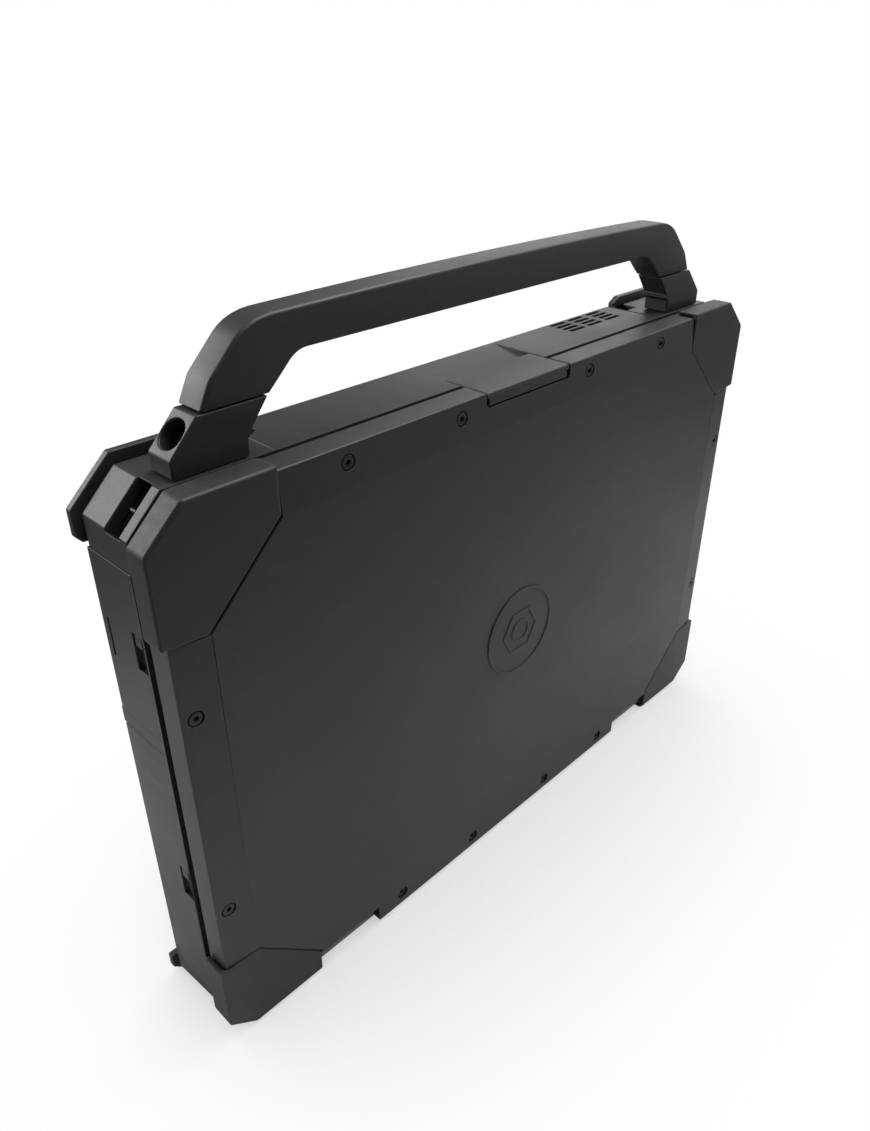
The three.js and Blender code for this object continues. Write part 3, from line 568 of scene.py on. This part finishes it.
def lid_screws():
    """The cover's twelve screws: four along the front edge, four along the hinge edge, two up each side."""
    seat = Site((0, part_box("lid_screw_1")[1][1], 0), (1, 0, 0), (0, 0, 1))
    front_z, hinge_z = LID[2][1] - 6.3, LID[2][0] + 6.1
    rows = [(x, front_z) for x in (41.1, 98.4)] + [(x, hinge_z) for x in (29.4, 79.6)]
    for i, (x, z) in enumerate([(side * x, z) for x, z in rows for side in (1, -1)]):
        body = Body()
        hex_screw(body, seat, (x, z))
        body.piece(f"cover_screw_{i + 5}", "screw_black", "lid")
    for i in range(1, 5):
        spans = node_mm(f"lid_screw_{i}")
        body = Body()
        hex_screw(body, seat, (middle(spans[0]), middle(spans[2])))
        body.piece(f"cover_screw_{i}", "screw_black", "lid", f"lid_screw_{i}")


def hoop(body, site, centre, outer, inner, low, high, sides=None):
    """A raised hoop, round or many-sided, with softened edges."""
    def ring(radius):
        return sided_ring(radius, sides, 48) if sides else round_ring(radius, 72)
    soft = 0.2
    body.stack(site, centre, [
        (ring(outer), low),
        (ring(outer), high - soft),
        (ring(outer - soft), high),
        (ring(inner + soft), high),
        (ring(inner), high - soft),
        (ring(inner), low),
    ], loop=True)


def emblem():
    """A plain generic badge: a ring round a hexagon nut."""
    body = Body()
    centre = (0.5, middle(LID[2]) - 1.5)
    outer, inner = 23, 21.5
    hoop(body, lid_face, centre, outer, inner, -0.2, 0.55)
    body.stack(lid_face, centre, [(round_ring(inner, 72), -0.2), (round_ring(inner, 72), 0.12)])
    hoop(body, lid_face, centre, 12.6, 10.9, 0, 0.5, 6)
    hoop(body, lid_face, centre, 6.2, 4.9, 0, 0.5)
    body.piece("lid_emblem", "black_shell", "lid")


def screen():
    """The unlit display area behind the glass, the camera's lens and the ring round it."""
    glass = node_mm("touch_glass")
    face = Site((0, glass[1][1] * MM, 0), (-1, 0, 0), (0, 0, 1))
    area = Body()
    low, high, half_width = 42.0, 209.0, 151
    area.pad(face, (0, (low + high) / 2), (half_width, (high - low) / 2), (-0.2, 0.06), 0.6, 0.05)
    area.piece("display_area", "screen_glass", "lid", finish=FINISHES["panel"])
    spans = node_mm("camera_module")
    eye = Site((0, spans[1][1] * MM, 0), (-1, 0, 0), (0, 0, 1))
    lens = Body()
    lens.stack(eye, (0, middle(spans[2])), [
        (round_ring(1.7), -0.2), (round_ring(1.7), 0.1), (round_ring(1.4), 0.25),
        (round_ring(0.9), 0.4), (round_ring(0.3), 0.45),
    ])
    lens.piece("camera_lens", "screen_glass", "lid")
    ring = Body()
    hoop(ring, eye, (0, middle(spans[2])), 2.2, 1.75, -0.2, 0.3)
    ring.piece("camera_ring", "dark_metal", "lid")


# ---- Handle ----

def along(start, end, t):
    return (start[0] + (end[0] - start[0]) * t, start[1] + (end[1] - start[1]) * t)


def curve(start, pull, end, t):
    """A point on the quadratic curve from start to end, drawn towards pull."""
    return along(along(start, pull, t), along(pull, end, t), t)


def handle_rails():
    """Pairs of points, outer and inner, from one end of the handle's bar to its middle."""
    (_, half), _, (_, top) = node_mm("handle_grip")
    low = node_mm("handle_bracket_left")[2][1] + 0.6
    knee, shoulder, crown = (half - 4.7, low + 8.9), (half - 15.2, low + 19.5), (half - 30.2, top - 1.4)
    palm, knuckle, roof = (half - 26.9, low), (half - 36, low + 8.4), (half - 43.7, low + 11.5)
    bend = along(palm, knuckle, 0.6)
    pairs = [(along((half, low), knee, t), along(palm, bend, t)) for t in (0.06, 0.5, 0.95)]
    pairs += [(along(knee, shoulder, t), along(bend, knuckle, t)) for t in (0.04, 0.35, 0.7, 0.97)]
    outer_pull, inner_pull = (half - 20.6, top - 1.9), (half - 39.3, low + 11.5)
    pairs += [(curve(shoulder, outer_pull, crown, t), curve(knuckle, inner_pull, roof, t))
              for t in (0.04, 0.2, 0.4, 0.6, 0.8, 1.0)]
    for t in (0.1, 0.25, 0.5, 0.75):
        reach = crown[0] * (1 - t)
        pairs.append(((reach, top - 1.4 * (reach / crown[0]) ** 2), (roof[0] * (1 - t), roof[1])))
    return low, pairs, ((0, top), (0, roof[1]))


def handle_bar():
    """The carrying handle: a bar lofted from leg to leg, rounded, with a tongue into each bracket."""
    front, back = node_mm("handle_grip")[1]
    low, pairs, crest = handle_rails()
    mid_y, half_y = (front + back) / 2, (back - front) / 2

    def section(outer, inner, shrink=0.0, height=None):
        length = math.dist(outer, inner)
        ring = []
        for a, b in rounded_rect(length / 2 - shrink, half_y - shrink, 1.5, 6):
            x, z = along(inner, outer, 0.5 + a / length)
            ring.append(Vector((x, mid_y + b, z if height is None else height)) * MM)
        return ring

    steps = ((0.35, low), (0.1, low + 0.12), (0, low + 0.4))
    foot = [section(*pairs[0], shrink, height) for shrink, height in steps]
    leg = foot + [section(*pair) for pair in pairs[1:]]
    mirrored = [[Vector((-p.x, p.y, p.z)) for p in ring] for ring in reversed(leg)]
    body = Body()
    body.skin(leg + [section(*crest)] + mirrored)
    above = Site((0, 0, 0), (1, 0, 0), (0, 1, 0))
    socket = node_mm("handle_grip")[2][0]
    tongue_x = 133
    for side in (1, -1):
        body.pad(above, (side * tongue_x, mid_y - 0.15), (4.6, 3.2), (socket, low + 1.2), 0.8, 0.3)
    body.piece("handle_bar", "black_shell", "base", "handle_grip")


# ---- Keyboard ----

KEY_GAP = 1.5
KEY_PITCH = 19.0
CAP_DEPTH = node_mm("key_space")[1][1] - KEY_TOP
FIELD_END = node_mm("key_escape")[0][1]     # the key field's far end, as a distance from the middle
FIRST_ROW = node_mm("key_escape")[2]
ROW_STEP = (node_mm("key_space")[2][0] - FIRST_ROW[0]) / 5
STEM_REACH = node_mm("keyboard_frame")[1][1] - KEY_TOP - 0.8


def key_halves(spans):
    """Half a node's width and depth in the plane of the keys."""
    return (spans[0][1] - spans[0][0]) / 2, (spans[2][1] - spans[2][0]) / 2


def key_shell(body, u_span, v_span, stem):
    """A cap with tapered sides and a softened face; a fixed cap stands on a stem."""
    half_u, half_v = (u_span[1] - u_span[0]) / 2, (v_span[1] - v_span[0]) / 2
    sizes = [(0, -CAP_DEPTH), (0.12, -0.75), (0.3, -0.35), (0.5, -0.12), (0.85, 0)]
    if stem:
        sizes = [(2.6, -STEM_REACH), (2.6, -CAP_DEPTH)] + sizes
    layers = []
    for inset, n in sizes:
        corner = 1.6 - 0.6 * min(inset, 1)
        layers.append((rounded_rect(half_u - inset, half_v - inset, corner), n))
    body.stack(key_face, (middle(u_span), middle(v_span)), layers)


def moving_key(node, label, size):
    spans = node_mm(node)
    u_span, v_span = (-spans[0][1], -spans[0][0]), (-spans[2][1], -spans[2][0])
    body = Body()
    key_shell(body, u_span, v_span, stem=False)
    body.piece(f"{node}_cap", "key_black", f"{node}_body", node)
    if label:
        legend = lettering([(label, middle(u_span), middle(v_span), size)], key_face)
        legend.piece(f"{node}_legend", "key_black", f"{node}_body", finish=FINISHES["legend"])


def evenly(labels, length):
    """Labels sharing a length, gaps included."""
    return [(label, length / len(labels)) for label in labels]


def key_rows(across):
    """The fixed keys of each row from the user's left, as (label, pitch), with None where a moving key is."""
    space = node_mm("key_space")[0][1] + KEY_GAP
    enter = node_mm("key_enter")[0][1] + FIELD_END + KEY_GAP
    side = FIELD_END + KEY_GAP - space
    rows = ("`1234567890-=", "QWERTYUIOP[]", "ASDFGHJKL;'", "ZXCVBNM,./")
    letters = [evenly(row, KEY_PITCH * len(row)) for row in rows]
    tops = [f"F{i}" for i in range(1, 13)] + ["Ins", "Del"]
    escape = node_mm("key_escape")[0]
    first = escape[1] - escape[0] + KEY_GAP
    tab, shift = 1.5 * KEY_PITCH, 2.25 * KEY_PITCH
    caps = across - enter - KEY_PITCH * 11
    return [
        [(None, first), *evenly(tops, across - first)],
        [*letters[0], ("Back", across - KEY_PITCH * 13)],
        [("Tab", tab), *letters[1], ("\\", across - tab - KEY_PITCH * 12)],
        [("Caps", caps), *letters[2], (None, enter)],
        [("Shift", shift), *letters[3], ("Shift", across - shift - KEY_PITCH * 10)],
        [*evenly(["Ctrl", "Fn", "Sys", "Alt"], side), (None, 2 * space - KEY_GAP),
         *evenly(["Alt", "Ctrl", "<", "^", ">"], side)],
    ]


def keyboard():
    """Separate caps with legends over a plate, and the three caps that travel."""
    caps, words = Body(), []
    across = 2 * FIELD_END + KEY_GAP
    for row, keys in enumerate(key_rows(across)):
        low = FIRST_ROW[0] + row * ROW_STEP
        v_span = (-low - (FIRST_ROW[1] - FIRST_ROW[0]), -low)
        u = -FIELD_END
        for label, pitch in keys:
            u_span = (u, u + pitch - KEY_GAP)
            u += pitch
            if label is None:
                continue
            key_shell(caps, u_span, v_span, stem=True)
            words.append((label, middle(u_span), middle(v_span), 5.2 if len(label) == 1 else 3.4))
    caps.piece("key_caps", "key_black", "base", "keyboard_frame")
    lettering(words, key_face).piece("key_legends", "key_black", "base", finish=FINISHES["legend"])
    spans = node_mm("keyboard_frame")
    low = KEY_TOP - spans[1][1]
    plate = Body()
    plate.pad(key_face, (0, -middle(spans[2])), key_halves(spans), (low, low + 1), 2)
    plate.piece("keyboard_plate", "key_black", "base", "keyboard_frame")
    moving_key("key_escape", "Esc", 3.4)
    moving_key("key_enter", "Enter", 3.4)
    moving_key("key_space", "", 0)


def soft_block(node, name, slot, body_name, radius, edge, finish=None):
    """A block in the deck, with rounded corners, standing for its CAD node."""
    spans = node_mm(node)
    body = Body()
    heights = (KEY_TOP - spans[1][1], KEY_TOP - spans[1][0])
    centre = (-middle(spans[0]), -middle(spans[2]))
    body.pad(key_face, centre, key_halves(spans), heights, radius, edge)
    body.piece(name, slot, body_name, node, finish=finish)


def pointing():
    """The touchpad's face and its two buttons."""
    soft_block("touchpad", "touchpad_face", "key_black", "base", 1.4, 0.25, FINISHES["pad"])
    for word in ("left", "right"):
        node = f"pad_button_{word}"
        soft_block(node, f"{node}_cap", "key_black", f"{node}_body", 1.4, 0.45)


def power_switch():
    """A round button with a raised rim and a plain ring-and-bar mark."""
    spans = node_mm("power_button")
    centre = (-middle(spans[0]), -middle(spans[2]))
    radius = (spans[0][1] - spans[0][0]) / 2
    high, low = KEY_TOP - spans[1][0], KEY_TOP - spans[1][1]
    body = Body()
    body.stack(key_face, centre, [
        (round_ring(radius), low), (round_ring(radius), high - 0.3), (round_ring(radius - 0.1), high - 0.1),
        (round_ring(radius - 0.35), high), (round_ring(radius - 0.8), high),
        (round_ring(radius - 1.2), high - 0.25), (round_ring(1.0), high - 0.35),
    ])
    body.piece("power_button_cap", "dark_metal", "power_button_body", "power_button")
    mark = Body()
    hoop(mark, key_face, centre, 2.1, 1.6, high - 0.5, high - 0.2)
    mark.pad(key_face, (centre[0], centre[1] + 1.6), (0.25, 1.0), (high - 0.5, high - 0.12), 0.1, 0.05)
    mark.piece("power_button_mark", "key_black", "power_button_body", finish=FINISHES["legend"])


# ---- Doors, sockets and what lies behind them ----

def grip_ribs(name, node, slot):
    """A row of finger ribs on the end face of a module that slides in from the side."""
    spans = node_mm(node)
    end = Site((spans[0][0] * MM, 0, 0), (0, -1, 0), (0, 0, 1))
    body = Body()
    y, z = -middle(spans[1]), middle(spans[2])
    for i in range(-3, 4):
        body.pad(end, (y, z + 4.5 * i), (4.2, 0.9), (-0.2, 0.6), 0.6, 0.3)
    body.piece(name, slot, "base")


def socket_tongues():
    """The contact tongues inside the side sockets, and the row of small contacts in one of them."""
    spans = node_mm("port_block")
    side = Site((spans[0][1] * MM, 0, 0), (0, 1, 0), (0, 0, 1))
    y = middle(spans[1])
    body = Body()
    for z, half_z, half_y in ((108, 5.4, 0.7), (126, 5.4, 0.7), (168, 5.6, 0.6)):
        body.pad(side, (y, z), (half_y, half_z), (-14.6, -2.5), 0.2, 0.2)
    for i in range(8):
        body.pad(side, (y - 4.4, 141.5 + i * 1.28), (0.35, 0.35), (-14.6, -3), 0.1, 0.1)
    body.piece("socket_tongues", "key_black", "base")


def dock_contacts():
    """Two rows of contacts in the docking connector."""
    spans = node_mm("dock_connector")
    floor = Site((0, spans[1][1] * MM, 0), (-1, 0, 0), (0, 0, 1))
    body = Body()
    for i in range(28):
        for row in (-1.4, 1.4):
            place = (-middle(spans[0]) - 32.4 + i * 2.4, middle(spans[2]) + row)
            body.pad(floor, place, (0.45, 0.5), (-4.2, -2.2), 0.2, 0.15)
    body.piece("dock_contacts", "steel", "base")


def cover_screws():
    """The bottom cover's screws, low heads round its edge."""
    spans = node_mm("bottom_cover")
    inset = 5.0
    xs = [-spans[0][1] + inset, -middle(spans[0]), -spans[0][0] - inset]
    zs = [spans[2][0] + inset, middle(spans[2]), spans[2][1] - inset]
    places = [(x, z) for x in xs for z in zs if (x, z) != (xs[1], zs[1])]
    for i, place in enumerate(places):
        body = Body()
        hex_screw(body, bottom_face, place, 2.4, 0.7)
        body.piece(f"bottom_screw_{i + 1}", "screw_black", "base")


def fittings():
    lid_screws()
    emblem()
    handle_bar()
    screen()
    keyboard()
    pointing()
    power_switch()
    grip_ribs("battery_grip", "battery_pack", "key_black")
    grip_ribs("drive_grip", "drive_caddy", "dark_metal")
    socket_tongues()
    dock_contacts()
    cover_screws()


fittings()


# ---- Stage, light and camera ----

FLOOR_X, FLOOR_Y = (-0.39, 0.6), (-0.28, 0.27)   # sized so that the object darkens upwards
SHADE_REACH = 0.2                                # metres over which the contact shade fades
ROOM_LIGHT = 0.17

CAMERA_LENS = 28.66
CAMERA_PLACE = (-0.28097, -0.24454, 0.36323)
CAMERA_AHEAD = (0.61847, 0.60616, -0.50007)
CAMERA_UP = (0.35891, 0.34822, 0.86598)


def stage_floor():
    """A plain pale floor. Seen directly it is clear but for its soft contact shade, so that a lid opened
    past the floor still shows; to all light it is an ordinary pale surface."""
    mesh = bpy.data.meshes.new("floor")
    (left, right), (front, back) = FLOOR_X, FLOOR_Y
    corners = [(left, front, 0), (right, front, 0), (right, back, 0), (left, back, 0)]
    mesh.from_pydata(corners, [], [(0, 1, 2, 3)])
    floor = bpy.data.objects.new("floor", mesh)
    bpy.context.scene.collection.objects.link(floor)
    s = Shader("pale_floor")
    s.finish(s.mix(s.noise(3), (0.80, 0.80, 0.79), (0.84, 0.84, 0.83)), 0.7, specular=0.3)
    shade = s.add("ShaderNodeAmbientOcclusion", samples=12)
    shade.inputs["Distance"].default_value = SHADE_REACH
    clear = s.add("ShaderNodeBsdfTransparent")
    # painted contact shade: ambient occlusion darkens the floor's see-through colour towards grey near the
    # object
    painted_shade_tint = s.mix(s.spread(shade.outputs["AO"], 0.0, 0.9), (0.45, 0.45, 0.46), (1.0, 1.0, 1.0))
    s.link(painted_shade_tint, clear.inputs["Color"])
    seen = s.add("ShaderNodeLightPath").outputs["Is Camera Ray"]
    both = s.add("ShaderNodeMixShader")
    s.link(seen, both.inputs[0])
    s.link(s.surface.outputs[0], both.inputs[1])
    s.link(clear.outputs[0], both.inputs[2])
    s.link(both.outputs[0], s.tree.nodes["Material Output"].inputs["Surface"])
    mesh.materials.append(s.material)


def soft_light(name, place, target, size, power, color=(1, 1, 1)):
    data = bpy.data.lights.new(name, "AREA")
    data.shape = "RECTANGLE"
    data.size, data.size_y = size
    data.energy = power
    data.color = color
    lamp = bpy.data.objects.new(name, data)
    lamp.location = place
    lamp.rotation_euler = (Vector(target) - Vector(place)).to_track_quat("-Z", "Y").to_euler()
    bpy.context.scene.collection.objects.link(lamp)


def studio():
    """A white surround to look at, a dim one to light by, and four broad soft lamps: one overhead, two behind
    and a weak one far to the right."""
    world = bpy.data.worlds.new("studio")
    bpy.context.scene.world = world
    world.use_nodes = True
    tree = world.node_tree
    seen = tree.nodes["Background"]
    seen.inputs["Color"].default_value = (1, 1, 1, 1)
    seen.inputs["Strength"].default_value = 1.0
    room = tree.nodes.new("ShaderNodeBackground")
    room.inputs["Color"].default_value = (0.86, 0.91, 1.0, 1)
    room.inputs["Strength"].default_value = ROOM_LIGHT
    path = tree.nodes.new("ShaderNodeLightPath")
    both = tree.nodes.new("ShaderNodeMixShader")
    tree.links.new(path.outputs["Is Camera Ray"], both.inputs[0])
    tree.links.new(room.outputs[0], both.inputs[1])
    tree.links.new(seen.outputs[0], both.inputs[2])
    tree.links.new(both.outputs[0], tree.nodes["World Output"].inputs["Surface"])
    soft_light("overhead", (0.5, -0.15, 1.3), (0, 0, 0.1), (1.1, 0.9), 22, (1.0, 0.98, 0.95))
    soft_light("behind_left", (-0.85, 1.4, 0.8), (0, 0, 0.2), (1.2, 0.8), 25)
    soft_light("behind_right", (1.5, 0.9, 0.75), (0, 0, 0.2), (1.1, 0.7), 5, (1.0, 0.93, 0.87))
    soft_light("far_right", (1.7, -1.05, 0.25), (0, 0, 0.2), (1.0, 0.5), 2.2)
    bpy.context.scene.view_settings.view_transform = "Standard"


def camera():
    """A camera at the photograph's viewing angle."""
    data = bpy.data.cameras.new("camera")
    data.lens = CAMERA_LENS
    data.clip_start = 0.01
    obj = bpy.data.objects.new("camera", data)
    ahead = Vector(CAMERA_AHEAD).normalized()
    up = Vector(CAMERA_UP).normalized()
    right = ahead.cross(up).normalized()
    turn = Matrix((right, right.cross(ahead), -ahead)).transposed()
    obj.matrix_world = Matrix.Translation(CAMERA_PLACE) @ turn.to_4x4()
    bpy.context.scene.collection.objects.link(obj)
    bpy.context.scene.camera = obj


stage_floor()
studio()
camera()
